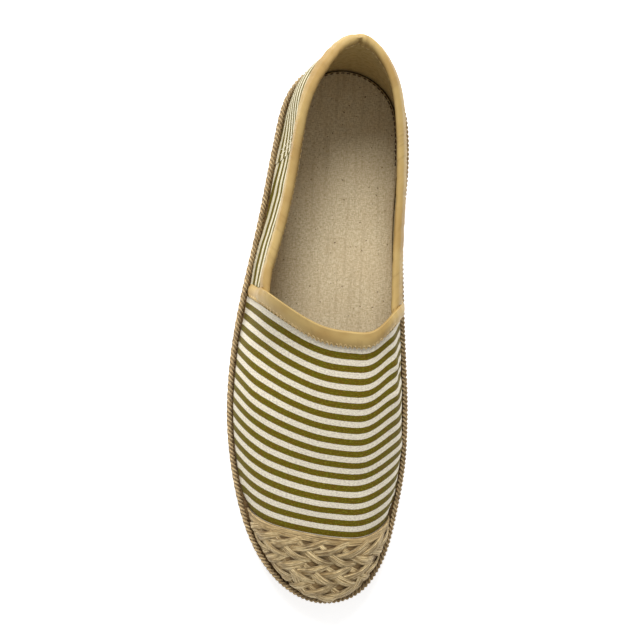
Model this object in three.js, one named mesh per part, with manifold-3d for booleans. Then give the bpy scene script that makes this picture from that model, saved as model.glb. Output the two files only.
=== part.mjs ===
import * as THREE from "three";
import { mergeVertices } from "three/addons/utils/BufferGeometryUtils.js";
import Module from "manifold-3d";

// A right-foot espadrille. Millimetres, +Z up, toe toward -Y, big-toe side toward +X.
const LENGTH = 250; // sole, heel to toe
const BALL = 86; // width that the outline shares are taken of
const INSTEP = 44; // height that the ridge shares are taken of
const AXIS_X = 5.8; // the heel-to-toe line stands this far to the big-toe side of the middle
const GAP = 0.3; // clearance between neighbouring pieces
const SKIRT = 4; // how far a cutter reaches below what it hollows

const SOLE_HEEL = 23; // top of the jute platform above its own underside, at the heel
const SOLE_BALL = 17.5;
const SOLE_TOE = 16.5;
const TOE_SPRING = 3.5;
const ARCH = 1.5;
const OUTSOLE = 4; // rubber sheet
const OUTSOLE_INSET = 1.2;
const COURSES = 4; // raised jute courses on the side of the platform
const COURSE_DEPTH = 0.9;
const ROPE = 2.6; // welt rope diameter
const ROPE_INSET = 0.3;
const INSOLE = 2.7;
const INSOLE_GAP = 0.8; // insole edge to the lining

const WALL = 1.4; // canvas and lining together
const TAPE = 8; // throat binding width on each face
const COLLAR_TAPE = 6; // collar binding width on each face
const TAPE_THICK = 0.8;
const TAPE_PLAN = 0.84; // part of the tape's width seen from above on the sloping vamp
const CAP_THICK = 1.4; // jute toe cap between plaits
const CAP_RELIEF = 0.7; // height of a plait over that
const BAND = 3; // smooth strands along the cap's back edge
const PLAIT = 9.8; // width of one plait
const HEEL_IN = 4.6; // the back leans in by this much

const STATIONS = 38; // around half of the shoe
const LEVELS = 8; // up the side of a section

// Half widths of the sole, as shares of BALL, at shares of LENGTH from the heel.
const outlineTable = [
  { at: 0, lateral: 0, medial: 0 },
  { at: 0.03, lateral: 0.225, medial: 0.235 },
  { at: 0.08, lateral: 0.32, medial: 0.335 },
  { at: 0.14, lateral: 0.358, medial: 0.366 },
  { at: 0.2, lateral: 0.386, medial: 0.37 },
  { at: 0.3, lateral: 0.432, medial: 0.358 },
  { at: 0.4, lateral: 0.487, medial: 0.368 },
  { at: 0.5, lateral: 0.536, medial: 0.39 },
  { at: 0.6, lateral: 0.56, medial: 0.416 },
  { at: 0.67, lateral: 0.558, medial: 0.424 },
  { at: 0.75, lateral: 0.53, medial: 0.418 },
  { at: 0.83, lateral: 0.476, medial: 0.384 },
  { at: 0.9, lateral: 0.395, medial: 0.338 },
  { at: 0.95, lateral: 0.293, medial: 0.27 },
  { at: 0.98, lateral: 0.19, medial: 0.19 },
  { at: 1, lateral: 0, medial: 0 },
];

// Cross-sections: ridge position (of BALL) and height over the feather (of INSTEP), and
// tuck of the foot line inside the sole edge (mm).
const sectionTable = [
  { at: 0, ridge: 0.04, rise: 1.7, tuck: 3.4 },
  { at: 0.04, ridge: 0.035, rise: 1.7, tuck: 3.4 },
  { at: 0.1, ridge: 0.02, rise: 1.7, tuck: 3.4 },
  { at: 0.2, ridge: 0, rise: 1.7, tuck: 3.4 },
  { at: 0.3, ridge: 0, rise: 1.65, tuck: 3.4 },
  { at: 0.4, ridge: 0.02, rise: 1.4, tuck: 3.3 },
  { at: 0.5, ridge: 0.08, rise: 1.05, tuck: 3.3 },
  { at: 0.6, ridge: 0.085, rise: 0.91, tuck: 3.3 },
  { at: 0.7, ridge: 0.085, rise: 0.76, tuck: 3.4 },
  { at: 0.8, ridge: 0.08, rise: 0.6, tuck: 4.6 },
  { at: 0.88, ridge: 0.07, rise: 0.46, tuck: 5.5 },
  { at: 0.95, ridge: 0.04, rise: 0.3, tuck: 5.6 },
  { at: 1, ridge: 0, rise: 0.1, tuck: 5.6 },
];

// For each side, how far the shoulder reaches out (of the half width), how high the
// wall's straight pull goes (of the ridge height) and how far it leans in (of BALL).
// The outer quarter leans in from the rope and stands upright under its tape.
const sideTable = [
  { at: 0, latOut: 0.02, medOut: 0.02, latUp: 0.55, medUp: 0.55, latLean: 0, medLean: 0 },
  { at: 0.04, latOut: -0.1, medOut: 0.194, latUp: 0.55, medUp: 0.55, latLean: -0.045, medLean: 0.04 },
  { at: 0.1, latOut: 0.49, medOut: 0.327, latUp: 0.55, medUp: 0.55, latLean: 0.044, medLean: 0.04 },
  { at: 0.2, latOut: 1.5, medOut: 0.505, latUp: 0.55, medUp: 0.55, latLean: 0.238, medLean: 0.045 },
  { at: 0.3, latOut: 1.33, medOut: 0.436, latUp: 0.55, medUp: 0.55, latLean: 0.215, medLean: 0.002 },
  { at: 0.4, latOut: 1.32, medOut: 0.495, latUp: 0.55, medUp: 0.55, latLean: 0.19, medLean: 0.006 },
  { at: 0.5, latOut: 0.78, medOut: 0.74, latUp: 0.5, medUp: 0.6, latLean: 0.06, medLean: 0.02 },
  { at: 0.6, latOut: 0.6, medOut: 0.76, latUp: 0.5, medUp: 0.6, latLean: -0.008, medLean: 0.015 },
  { at: 0.7, latOut: 0.58, medOut: 0.68, latUp: 0.55, medUp: 0.56, latLean: -0.01, medLean: 0.01 },
  { at: 0.8, latOut: 0.6, medOut: 0.64, latUp: 0.6, medUp: 0.58, latLean: -0.005, medLean: -0.005 },
  { at: 0.88, latOut: 0.62, medOut: 0.62, latUp: 0.6, medUp: 0.6, latLean: 0, medLean: 0 },
  { at: 0.95, latOut: 0.62, medOut: 0.62, latUp: 0.6, medUp: 0.6, latLean: 0, medLean: 0 },
  { at: 1, latOut: 0.62, medOut: 0.62, latUp: 0.6, medUp: 0.6, latLean: 0, medLean: 0 },
];

// Collar height over the floor (mm) at shares of LENGTH from the heel.
const collarTable = [
  { at: 0, height: 73 },
  { at: 0.04, height: 72.6 },
  { at: 0.1, height: 69.5 },
  { at: 0.18, height: 64 },
  { at: 0.27, height: 60 },
  { at: 0.36, height: 58 },
  { at: 0.55, height: 57 },
];

// Back edge of the vamp and back edge of the toe cap in plan: y (mm) across the
// shoe, x from the heel-to-toe line as a share of BALL.
const throatTable = [
  { at: -0.6, back: 32 },
  { at: -0.41, back: 18.2 },
  { at: -0.25, back: 8.7 },
  { at: -0.075, back: 1.7 },
  { at: 0.05, back: 0.4 },
  { at: 0.15, back: 1.6 },
  { at: 0.24, back: 8.8 },
  { at: 0.32, back: 15 },
  { at: 0.5, back: 27 },
];
const capTable = [
  { at: -0.6, back: -68 },
  { at: -0.445, back: -80.6 },
  { at: -0.36, back: -84.7 },
  { at: -0.25, back: -87.1 },
  { at: -0.125, back: -88.7 },
  { at: 0.05, back: -90.4 },
  { at: 0.194, back: -89.6 },
  { at: 0.29, back: -86.1 },
  { at: 0.42, back: -79 },
];

const turnOf = (share) => Math.acos(1 - 2 * share);
const shareOf = (turn) => (1 - Math.cos(turn)) / 2;
const yOf = (share) => LENGTH * (0.5 - share);
const shareAt = (y) => THREE.MathUtils.clamp(0.5 - y / LENGTH, 0, 1);

// Natural cubic spline through one column of a table.
function spline(table, column, warp) {
  const xs = table.map((row) => warp(row.at));
  const ys = table.map((row) => row[column]);
  const last = xs.length - 1;
  const bend = new Array(last + 1).fill(0);
  const carry = new Array(last + 1).fill(0);
  for (let i = 1; i < last; i += 1) {
    const before = xs[i] - xs[i - 1];
    const after = xs[i + 1] - xs[i];
    const pivot = 2 * (before + after) - before * carry[i - 1];
    carry[i] = after / pivot;
    const jump = (ys[i + 1] - ys[i]) / after - (ys[i] - ys[i - 1]) / before;
    bend[i] = (6 * jump - before * bend[i - 1]) / pivot;
  }
  for (let i = last - 1; i > 0; i -= 1) {
    bend[i] -= carry[i] * bend[i + 1];
  }
  return (x) => {
    let i = 0;
    while (i < last - 1 && x > xs[i + 1]) {
      i += 1;
    }
    const span = xs[i + 1] - xs[i];
    const t = (x - xs[i]) / span;
    const s = 1 - t;
    const curve = (s * s * s - s) * bend[i] + (t * t * t - t) * bend[i + 1];
    return s * ys[i] + t * ys[i + 1] + (span * span * curve) / 6;
  };
}

const same = (x) => x;
const halfWidth = {
  lateral: spline(outlineTable, "lateral", turnOf),
  medial: spline(outlineTable, "medial", turnOf),
};
const sectionCurve = {};
for (const rows of [sectionTable, sideTable]) {
  for (const column of Object.keys(rows[0])) {
    sectionCurve[column] = spline(rows, column, turnOf);
  }
}
const collarCurve = spline(collarTable, "height", turnOf);
const throatCurve = spline(throatTable, "back", same);
const capCurve = spline(capTable, "back", same);
const collarHeight = (y) => collarCurve(turnOf(Math.min(shareAt(y), 0.55)));
const inPlan = (curve) => (x) => curve(THREE.MathUtils.clamp((x - AXIS_X) / BALL, -0.6, 0.5));
const throatBack = inPlan(throatCurve);
const capBack = inPlan(capCurve);

// Underside of the shoe and feather line (top of the platform) along the foot.
function underside(share) {
  const ease = THREE.MathUtils.smoothstep;
  const arch = ARCH * ease(share, 0.3, 0.45) * (1 - ease(share, 0.45, 0.6));
  const spring = Math.max(0, (share - 0.76) / 0.24);
  return arch + TOE_SPRING * spring * spring;
}
function feather(share) {
  const ease = THREE.MathUtils.smoothstep;
  const toBall = (SOLE_BALL - SOLE_HEEL) * ease(share, 0.15, 0.62);
  const toToe = (SOLE_TOE - SOLE_BALL) * ease(share, 0.62, 1);
  return underside(share) + SOLE_HEEL + toBall + toToe;
}

// Point of the sole's outline in plan, moved in from the edge. side is -1 or 1.
function outline(turn, inset, side) {
  const width = side < 0 ? halfWidth.lateral : halfWidth.medial;
  const edge = (a) => new THREE.Vector2(side * BALL * width(a), (LENGTH / 2) * Math.cos(a));
  const step = 1e-4;
  const low = Math.max(turn - step, 0);
  const high = Math.min(turn + step, Math.PI);
  const along = edge(high).sub(edge(low)).normalize();
  const out = new THREE.Vector2(-along.y * side, along.x * side);
  if (turn < step || turn > Math.PI - step) {
    out.set(0, Math.sign(Math.cos(turn)));
  }
  return edge(turn).addScaledVector(out, -inset).add(new THREE.Vector2(AXIS_X, 0));
}

// Point on the upper's outer face moved out by depth. up runs from foot to ridge.
function onUpper(turn, side, up, depth) {
  const share = shareOf(turn);
  const value = (column) => sectionCurve[column](turn);
  const tuck = value("tuck");
  const out = value(side < 0 ? "latOut" : "medOut");
  const straight = value(side < 0 ? "latUp" : "medUp");
  const lean = value(side < 0 ? "latLean" : "medLean");
  const foot = outline(turn, tuck - depth, side);
  const low = feather(share);
  const shrink = (LENGTH / 2 - tuck + depth) / (LENGTH / 2);
  const heelIn = HEEL_IN * Math.max(0, 1 - share / 0.12);
  const ridge = new THREE.Vector3(
    AXIS_X + value("ridge") * BALL,
    yOf(share) * shrink - heelIn,
    low + value("rise") * INSTEP + depth,
  );
  const height = ridge.z - low;
  const base = new THREE.Vector3(foot.x, foot.y, low);
  const wallTop = new THREE.Vector3(foot.x - side * lean * BALL, foot.y, low + straight * height);
  const shoulder = new THREE.Vector3().lerpVectors(ridge, base, out).setZ(ridge.z);
  return new THREE.CubicBezierCurve3(base, wallTop, shoulder, ridge).getPoint(up);
}

// Closed mesh through a row of rings with the same number of points each.
function loft(rings, { closed = false, capPlane = null, capEnd = true } = {}) {
  const size = rings[0].length;
  const positions = rings.flat().flatMap((p) => [p.x, p.y, p.z]);
  const index = [];
  const spans = closed ? rings.length : rings.length - 1;
  for (let i = 0; i < spans; i += 1) {
    const next = (i + 1) % rings.length;
    for (let j = 0; j < size; j += 1) {
      const k = (j + 1) % size;
      const corners = [i * size + j, next * size + j, next * size + k, i * size + k];
      index.push(corners[0], corners[1], corners[2], corners[0], corners[2], corners[3]);
    }
  }
  if (capPlane) {
    const faces = THREE.ShapeUtils.triangulateShape(capPlane, []);
    const last = (rings.length - 1) * size;
    const wound = THREE.ShapeUtils.isClockWise(capPlane);
    for (const [a, b, c] of faces) {
      const [p, q, r] = wound ? [a, c, b] : [a, b, c];
      index.push(p, q, r);
      if (capEnd) {
        index.push(last + p, last + r, last + q);
      }
    }
  }
  return clean(positions, index);
}

// Merges equal corners, drops empty triangles and turns the faces outward.
function clean(positions, index) {
  const raw = new THREE.BufferGeometry();
  raw.setAttribute("position", new THREE.Float32BufferAttribute(positions, 3));
  raw.setIndex(index);
  const merged = mergeVertices(raw, 1e-4);
  const from = merged.getIndex().array;
  const kept = [];
  for (let i = 0; i < from.length; i += 3) {
    const [a, b, c] = [from[i], from[i + 1], from[i + 2]];
    if (a !== b && b !== c && c !== a) {
      kept.push(a, b, c);
    }
  }
  const at = (i) => new THREE.Vector3().fromBufferAttribute(merged.getAttribute("position"), i);
  let volume = 0;
  for (let i = 0; i < kept.length; i += 3) {
    volume += at(kept[i]).dot(at(kept[i + 1]).cross(at(kept[i + 2])));
  }
  if (volume < 0) {
    kept.reverse();
  }
  merged.setIndex(kept);
  return merged;
}

const turns = (from, to, count) =>
  Array.from({ length: count + 1 }, (_, i) => from + ((to - from) * i) / count);

// Solid whose cross-section at each turn is one side's profile and its mirror twin.
function fromProfiles(stations, profile, options) {
  const rings = stations.map((turn) => {
    const lateral = profile(turn, -1);
    const medial = profile(turn, 1).reverse();
    return [...lateral, ...medial];
  });
  return loft(rings, options);
}

// Full body of the upper out to a depth; drop carries it down below the feather.
function bodyOf(depthAt, drop, from = 0, stations = STATIONS, levels = LEVELS) {
  const profile = (turn, side) => {
    const points = turns(0, 1, levels).map((up) => onUpper(turn, side, up, depthAt(turn, side, up)));
    if (drop > 0) {
      return [points[0].clone().setZ(points[0].z - drop), ...points];
    }
    points[0].z += GAP;
    return points;
  };
  const capPlane =
    from > 0
      ? [...profile(from, -1), ...profile(from, 1).reverse()].map((p) => new THREE.Vector2(p.x, p.z))
      : null;
  return fromProfiles(turns(from, Math.PI, stations), profile, { capPlane, capEnd: false });
}

// Block between a low and a high surface over a grid of (u, v).
function slab(across, along, low, high) {
  const rings = turns(0, 1, across).map((u) => [
    ...turns(0, 1, along).map((v) => low(u, v)),
    ...turns(0, 1, along).map((v) => high(u, 1 - v)),
  ]);
  const capPlane = [
    ...turns(0, 1, along).map((v) => new THREE.Vector2(v, 0)),
    ...turns(0, 1, along).map((v) => new THREE.Vector2(1 - v, 1)),
  ];
  return loft(rings, { capPlane });
}

const FAR = 200;
const acrossX = (u) => (u - 0.5) * BALL * 1.3;

// What is cut away above the collar and behind the vamp's back edge.
function openingCutter(clear) {
  const behind = (u, v) => {
    const edge = throatBack(acrossX(u)) + clear;
    return edge + (FAR - edge) * v * v;
  };
  const low = (u, v) => {
    const y = behind(u, v);
    return new THREE.Vector3(acrossX(u), y, collarHeight(y) + clear);
  };
  const high = (u, v) => new THREE.Vector3(acrossX(u), behind(u, v), FAR);
  return slab(20, 24, low, high);
}

// Everything behind, or in front of, a line in plan.
function planCutter(line, shift, forward) {
  const edge = (u) => line(acrossX(u)) + shift;
  const far = forward ? -FAR : FAR;
  const low = (u, v) => new THREE.Vector3(acrossX(u), v < 0.5 ? edge(u) : far, -FAR);
  const high = (u, v) => new THREE.Vector3(acrossX(u), v < 0.5 ? edge(u) : far, FAR);
  return slab(20, 1, low, high);
}

// Root of a falling function between two ends.
function rootOf(fall, low, high) {
  let a = low;
  let b = high;
  for (let i = 0; i < 40; i += 1) {
    const middle = (a + b) / 2;
    if (fall(middle) > 0) {
      a = middle;
    } else {
      b = middle;
    }
  }
  return (a + b) / 2;
}

const tapeOut = GAP + TAPE_THICK;
const barPlane = [
  [0, 0],
  [1, 0],
  [1, 1],
  [0, 1],
].map(([x, y]) => new THREE.Vector2(x, y));

// Bar along the vamp's back edge, rope to rope, grown by clear on every side.
function throatBar(clear, steps = 12) {
  const spot = (side, up, ahead, depth) => {
    const line = (turn) => {
      const p = onUpper(turn, side, up, depth);
      return p.y - (throatBack(p.x) - ahead);
    };
    return onUpper(rootOf(line, turnOf(0.3), turnOf(0.7)), side, up, depth);
  };
  const ringAt = (side, up) => {
    const edge = spot(side, up, 0, 0);
    const free = edge.z > collarHeight(edge.y) + GAP;
    const inner = free ? -WALL - tapeOut - clear : GAP - clear;
    const outer = tapeOut + clear;
    const front = TAPE * TAPE_PLAN + clear;
    const back = -tapeOut - clear;
    return [
      spot(side, up, back, inner),
      spot(side, up, front, inner),
      spot(side, up, front, outer),
      spot(side, up, back, outer),
    ];
  };
  const footUp = (side) => {
    const over = (up) => {
      const p = spot(side, up, 0, 0);
      return feather(shareAt(p.y)) + ROPE + 3 * GAP - clear - p.z;
    };
    return rootOf(over, 0, 0.5);
  };
  const lateral = turns(footUp(-1), 1, steps).map((up) => ringAt(-1, up));
  const medial = turns(footUp(1), 1, steps).map((up) => ringAt(1, up));
  return loft([...lateral, ...medial.reverse().slice(1)], { capPlane: barPlane });
}

// Bar along the collar, from the vamp round the heel and back.
function collarBar() {
  const spot = (turn, side, below, depth) => {
    const fall = (up) => {
      const p = onUpper(turn, side, up, depth);
      return collarHeight(p.y) - below - p.z;
    };
    return onUpper(turn, side, rootOf(fall, 0, 1), depth);
  };
  const ringAt = (turn, side) => [
    spot(turn, side, -tapeOut, -WALL - tapeOut),
    spot(turn, side, COLLAR_TAPE, -WALL - tapeOut),
    spot(turn, side, COLLAR_TAPE, tapeOut),
    spot(turn, side, -tapeOut, tapeOut),
  ];
  const end = (side) => (side < 0 ? turnOf(0.46) : turnOf(0.49));
  const lateral = turns(end(-1), 0, 20).map((turn) => ringAt(turn, -1));
  const medial = turns(0, end(1), 20).map((turn) => ringAt(turn, 1));
  return loft([...lateral, ...medial.slice(1)], { capPlane: barPlane });
}

const wasm = await Module();
wasm.setup();
const { Manifold, Mesh: Solid } = wasm;

function toSolid(geometry) {
  return new Manifold(
    new Solid({
      numProp: 3,
      vertProperties: Float32Array.from(geometry.getAttribute("position").array),
      triVerts: Uint32Array.from(geometry.getIndex().array),
    }),
  );
}

function toGeometry(solid) {
  const { vertProperties, triVerts } = solid.getMesh();
  const geometry = new THREE.BufferGeometry();
  geometry.setAttribute("position", new THREE.BufferAttribute(Float32Array.from(vertProperties), 3));
  geometry.setIndex(new THREE.BufferAttribute(Uint32Array.from(triVerts), 1));
  return geometry;
}

// Side profile of a sole layer: list of [inset, height] at a turn.
function layer(profileAt) {
  const profile = (turn, side) =>
    profileAt(shareOf(turn), turn, side).map(([inset, height]) => {
      const p = outline(turn, inset, side);
      return new THREE.Vector3(p.x, p.y, height);
    });
  return fromProfiles(turns(0, Math.PI, STATIONS), profile);
}

const outsole = layer((share) => {
  const floor = underside(share);
  return [
    [OUTSOLE_INSET + 1, floor],
    [OUTSOLE_INSET, floor + 1],
    [OUTSOLE_INSET, floor + OUTSOLE],
  ];
});

// Platform wound with jute: each course stands proud of the groove between two.
const midsole = layer((share) => {
  const low = underside(share) + OUTSOLE + GAP;
  const high = feather(share);
  const points = [[COURSE_DEPTH, low]];
  for (let course = 0; course < COURSES; course += 1) {
    const step = (high - low) / COURSES;
    points.push([0, low + step * (course + 0.3)]);
    points.push([0, low + step * (course + 0.7)]);
    points.push([COURSE_DEPTH, low + step * (course + 1)]);
  }
  return points;
});

// The insole's edge keeps clear of the lining, also where the wall leans in over it.
const insole = layer((share, turn, side) => {
  const lean = sectionCurve[side < 0 ? "latLean" : "medLean"](turn) * BALL;
  const straight = sectionCurve[side < 0 ? "latUp" : "medUp"](turn);
  const slope = Math.max(0, lean) / (straight * sectionCurve.rise(turn) * INSTEP);
  const inset = sectionCurve.tuck(turn) + WALL + INSOLE_GAP + slope * (GAP + INSOLE);
  const low = feather(share) + GAP;
  return [
    [inset, low],
    [inset, low + INSOLE - 0.6],
    [inset + 0.6, low + INSOLE],
  ];
});

// Welt rope laid round the edge of the platform.
function ropeRing(steps, sides) {
  const centre = (step) => {
    const side = step < steps ? -1 : 1;
    const turn = (Math.PI * (step < steps ? step : 2 * steps - step)) / steps;
    const p = outline(turn, ROPE_INSET + ROPE / 2, side);
    return new THREE.Vector3(p.x, p.y, feather(shareOf(turn)) + GAP + ROPE / 2);
  };
  const count = 2 * steps;
  const rings = Array.from({ length: count }, (_, step) => {
    const here = centre(step);
    const along = centre((step + 1) % count).sub(centre((step + count - 1) % count)).normalize();
    const out = new THREE.Vector3(along.y, -along.x, 0).normalize();
    const up = new THREE.Vector3().crossVectors(out, along);
    return Array.from({ length: sides }, (_, k) => {
      const angle = (2 * Math.PI * k) / sides;
      const reach = out.clone().multiplyScalar((Math.cos(angle) * ROPE) / 2);
      return here.clone().add(reach).addScaledVector(up, (Math.sin(angle) * ROPE) / 2);
    });
  });
  return loft(rings, { closed: true });
}

// Depth of the toe cap's outer face: plaits lie side by side across the toe, and
// flatten toward the rope.
function capDepth(turn, side, up) {
  const p = onUpper(turn, side, up, CAP_THICK);
  const ahead = capBack(p.x) - p.y;
  const fade = THREE.MathUtils.smoothstep(p.z - feather(shareOf(turn)), 2, 9);
  return GAP + CAP_THICK + CAP_RELIEF * fade * Math.abs(Math.cos((Math.PI * (ahead - BAND)) / PLAIT));
}

const depth = (value) => () => value;
const outer = toSolid(bodyOf(depth(0), 0));
const inner = toSolid(bodyOf(depth(-WALL), SKIRT));
const upper = outer.subtract(inner).subtract(toSolid(openingCutter(0)));

const grown = toSolid(bodyOf(depth(GAP), 0))
  .subtract(toSolid(bodyOf(depth(-WALL - GAP), SKIRT)))
  .subtract(toSolid(openingCutter(GAP)));
const throatBinding = toSolid(throatBar(0)).subtract(grown);
const collarBinding = toSolid(collarBar())
  .subtract(grown)
  .subtract(toSolid(planCutter(throatBack, tapeOut + GAP, true)));
const toeCap = toSolid(bodyOf(capDepth, 0, turnOf(0.76), 26, 12))
  .subtract(toSolid(bodyOf(depth(GAP), SKIRT)))
  .subtract(toSolid(planCutter(capBack, 0, false)));

const group = new THREE.Group();
function add(name, geometry, color, roughness) {
  geometry.computeVertexNormals();
  const mesh = new THREE.Mesh(
    geometry,
    new THREE.MeshStandardMaterial({ color, roughness, metalness: 0 }),
  );
  mesh.name = name;
  group.add(mesh);
}

add("outsole", outsole, "#7d5f3c", 0.8);
add("midsole", midsole, "#a08a5c", 0.95);
add("rope_welt", ropeRing(66, 6), "#a8926a", 0.95);
add("insole", insole, "#b9a988", 0.95);
add("upper", toGeometry(upper), "#b3a777", 0.9);
add("toe_cap", toGeometry(toeCap), "#b09a66", 0.95);
add("throat_binding", toGeometry(throatBinding), "#b39a68", 0.6);
add("collar_binding", toGeometry(collarBinding), "#b39a68", 0.6);

export default group;
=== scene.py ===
import math

import bmesh
import bpy
import numpy as np
from mathutils import Matrix


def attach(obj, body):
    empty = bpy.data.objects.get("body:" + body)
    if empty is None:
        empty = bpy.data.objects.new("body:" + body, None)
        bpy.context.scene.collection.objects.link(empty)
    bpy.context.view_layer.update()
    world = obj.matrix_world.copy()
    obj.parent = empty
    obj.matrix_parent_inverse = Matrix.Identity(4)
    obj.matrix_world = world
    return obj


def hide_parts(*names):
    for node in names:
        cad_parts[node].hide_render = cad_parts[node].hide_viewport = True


# Dresses a right-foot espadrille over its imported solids. The sizes below are in
# millimetres, in the model's own frame: toe toward -Y, big-toe side toward +X.
# Meshes are turned into metres where they are made.
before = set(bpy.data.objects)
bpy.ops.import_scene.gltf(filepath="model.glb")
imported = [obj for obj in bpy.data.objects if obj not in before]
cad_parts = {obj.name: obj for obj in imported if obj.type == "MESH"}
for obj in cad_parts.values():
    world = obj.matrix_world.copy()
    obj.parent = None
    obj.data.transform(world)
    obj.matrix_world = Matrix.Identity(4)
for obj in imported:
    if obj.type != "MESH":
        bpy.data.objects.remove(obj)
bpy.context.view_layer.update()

LENGTH = 250.0
BALL = 86.0
INSTEP = 44.0
AXIS_X = 5.8
GAP = 0.3
SOLE_HEEL = 23.0
SOLE_BALL = 17.5
SOLE_TOE = 16.5
TOE_SPRING = 3.5
ARCH = 1.5
OUTSOLE = 4.0
OUTSOLE_INSET = 1.2
COURSES = 4
ROPE = 2.6
ROPE_INSET = 0.3
INSOLE = 2.7
INSOLE_GAP = 0.8
WALL = 1.4
TAPE = 8.0  # throat binding, on each face
COLLAR_TAPE = 6.0
TAPE_THICK = 0.8
TAPE_PLAN = 0.84  # part of the throat binding's width seen from above
HEEL_IN = 4.6  # the back leans in by this much

STRIPE = 5.3  # one olive and one white stripe together
VAMP_STRIPES = 16
VAMP_RUN = 91.0  # throat to the cap's back edge along the ridge, in plan
VAMP_START = 0.021  # share of that run where the canvas starts, under its tape
CAP_RUN = 28.4  # back edge of the toe cap to the tip of the last, in plan
CAP_BASE = 1.45  # outer face of the cap's jute base, over the last
BAND = 3.0  # smooth strands along the cap's back edge
PLAIT = 9.8  # width of one plait of the toe cap
PLAIT_CYCLE = 49.0  # length in which a strand of the plait comes back to its edge
ROPE_LAY = 4.1  # length of one full turn of a strand of the welt rope
COURSE_LAY = 12.5  # the same for the three plies of a course of the side band
COURSE_INSET = 1.2  # middle of a course, in from the sole's outline
COURSE_WIDE = 1.15  # half size of a course, out of the shoe
PLY = 0.52  # size of one twisted ply, as a share of its cord
STRAND = {"wide": 2.3, "high": 0.7}  # half sizes of a strand of the plaits
LOBES = 6, 0.14  # of a strand of the plaits: their count and depth
STRANDS = 5  # in each plait
PLAITS = 3
SWEEP = 0.62  # turn from the tip that the two strands in front of the toe cover
ZIGZAG = 1.9  # pitch of the stitches that hold the throat tape
STITCH = {  # pitch, length and radius of the plain stitches
    "collar": (2.5, 1.95, 0.24),
    "heel": (2.2, 1.6, 0.2),
    "insole": (2.6, 1.9, 0.26),
}
HEEL_SEAM = {"collar": 41.0, "foot": 49.0}  # heel piece's front edge from the heel end
HEEL_PROUD = 0.28  # its front edges lie this much over the quarters
CORE_GRID = 130, 17  # rows and columns over the plan of the sole
SOLE_GRID = 250, 41
INSOLE_GRID = 140, 41
HALF = LENGTH / 2


def table(names, rows):
    return dict(zip(names.split(), (np.array(column, float) for column in zip(*rows))))


OUTLINE = table(
    "at lateral medial",
    [(0, 0, 0), (0.03, 0.225, 0.235), (0.08, 0.32, 0.335), (0.14, 0.358, 0.366)]
    + [(0.2, 0.386, 0.37), (0.3, 0.432, 0.358), (0.4, 0.487, 0.368), (0.5, 0.536, 0.39)]
    + [(0.6, 0.56, 0.416), (0.67, 0.558, 0.424), (0.75, 0.53, 0.418), (0.83, 0.476, 0.384)]
    + [(0.9, 0.395, 0.338), (0.95, 0.293, 0.27), (0.98, 0.19, 0.19), (1, 0, 0)],
)
SECTION = table(
    "at ridge rise tuck lat_out med_out lat_up med_up lat_lean med_lean",
    [
        (0, 0.04, 1.7, 3.4, 0.02, 0.02, 0.55, 0.55, 0, 0),
        (0.04, 0.035, 1.7, 3.4, -0.1, 0.194, 0.55, 0.55, -0.045, 0.04),
        (0.1, 0.02, 1.7, 3.4, 0.49, 0.327, 0.55, 0.55, 0.044, 0.04),
        (0.2, 0, 1.7, 3.4, 1.5, 0.505, 0.55, 0.55, 0.238, 0.045),
        (0.3, 0, 1.65, 3.4, 1.33, 0.436, 0.55, 0.55, 0.215, 0.002),
        (0.4, 0.02, 1.4, 3.3, 1.32, 0.495, 0.55, 0.55, 0.19, 0.006),
        (0.5, 0.08, 1.05, 3.3, 0.78, 0.74, 0.5, 0.6, 0.06, 0.02),
        (0.6, 0.085, 0.91, 3.3, 0.6, 0.76, 0.5, 0.6, -0.008, 0.015),
        (0.7, 0.085, 0.76, 3.4, 0.58, 0.68, 0.55, 0.56, -0.01, 0.01),
        (0.8, 0.08, 0.6, 4.6, 0.6, 0.64, 0.6, 0.58, -0.005, -0.005),
        (0.88, 0.07, 0.46, 5.5, 0.62, 0.62, 0.6, 0.6, 0, 0),
        (0.95, 0.04, 0.3, 5.6, 0.62, 0.62, 0.6, 0.6, 0, 0),
        (1, 0, 0.1, 5.6, 0.62, 0.62, 0.6, 0.6, 0, 0),
    ],
)
COLLAR = table(
    "at height",
    [(0, 73), (0.04, 72.6), (0.1, 69.5), (0.18, 64), (0.27, 60), (0.36, 58), (0.55, 57)],
)
THROAT = table(
    "at back",
    [(-0.6, 32), (-0.41, 18.2), (-0.25, 8.7), (-0.075, 1.7), (0.05, 0.4)]
    + [(0.15, 1.6), (0.24, 8.8), (0.32, 15), (0.5, 27)],
)
CAP = table(
    "at back",
    [(-0.6, -68), (-0.445, -80.6), (-0.36, -84.7), (-0.25, -87.1), (-0.125, -88.7)]
    + [(0.05, -90.4), (0.194, -89.6), (0.29, -86.1), (0.42, -79)],
)
# Soft ridges (+) and troughs (-) of the canvas, listed one by one: from (x0, y0) to
# (x1, y1) in plan, x from the heel-to-toe line, with their half width and height.
CREASES = table(
    "x0 y0 x1 y1 width height",
    [
        (20, 2, 23.2, -14, 2.4, 0.7),
        (23.2, -14, 24.6, -27, 2.6, 0.8),
        (24.6, -27, 30, -51, 3.4, 0.6),
        (26, 4, 28.5, -18, 2.8, -0.8),
        (28.5, -18, 33.5, -44, 3.4, -0.6),
        (-39, 6, -33, -10, 4.5, -0.7),
        (-33, -10, -28, -28, 5.5, -0.5),
        (-37, -8, -34, -34, 5, 0.5),
        (-12, -60, 10, -64, 7, -0.35),
        (-20, -72, -6, -76, 5, 0.3),
        (14, -66, 24, -60, 5, -0.3),
        (-8, -20, 12, -22, 8, 0.3),
        (-28, 60, -33, 44, 4, -0.5),
        (-33, 44, -37, 30, 5, 0.45),
        (26, 64, 27, 40, 5, -0.4),
    ],
)


def turn_of(share):
    return np.arccos(1 - 2 * np.clip(share, 0, 1))


def share_of(turn):
    return (1 - np.cos(turn)) / 2


def ease(x, low, high):
    t = np.clip((x - low) / (high - low), 0, 1)
    return t * t * (3 - 2 * t)


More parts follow.
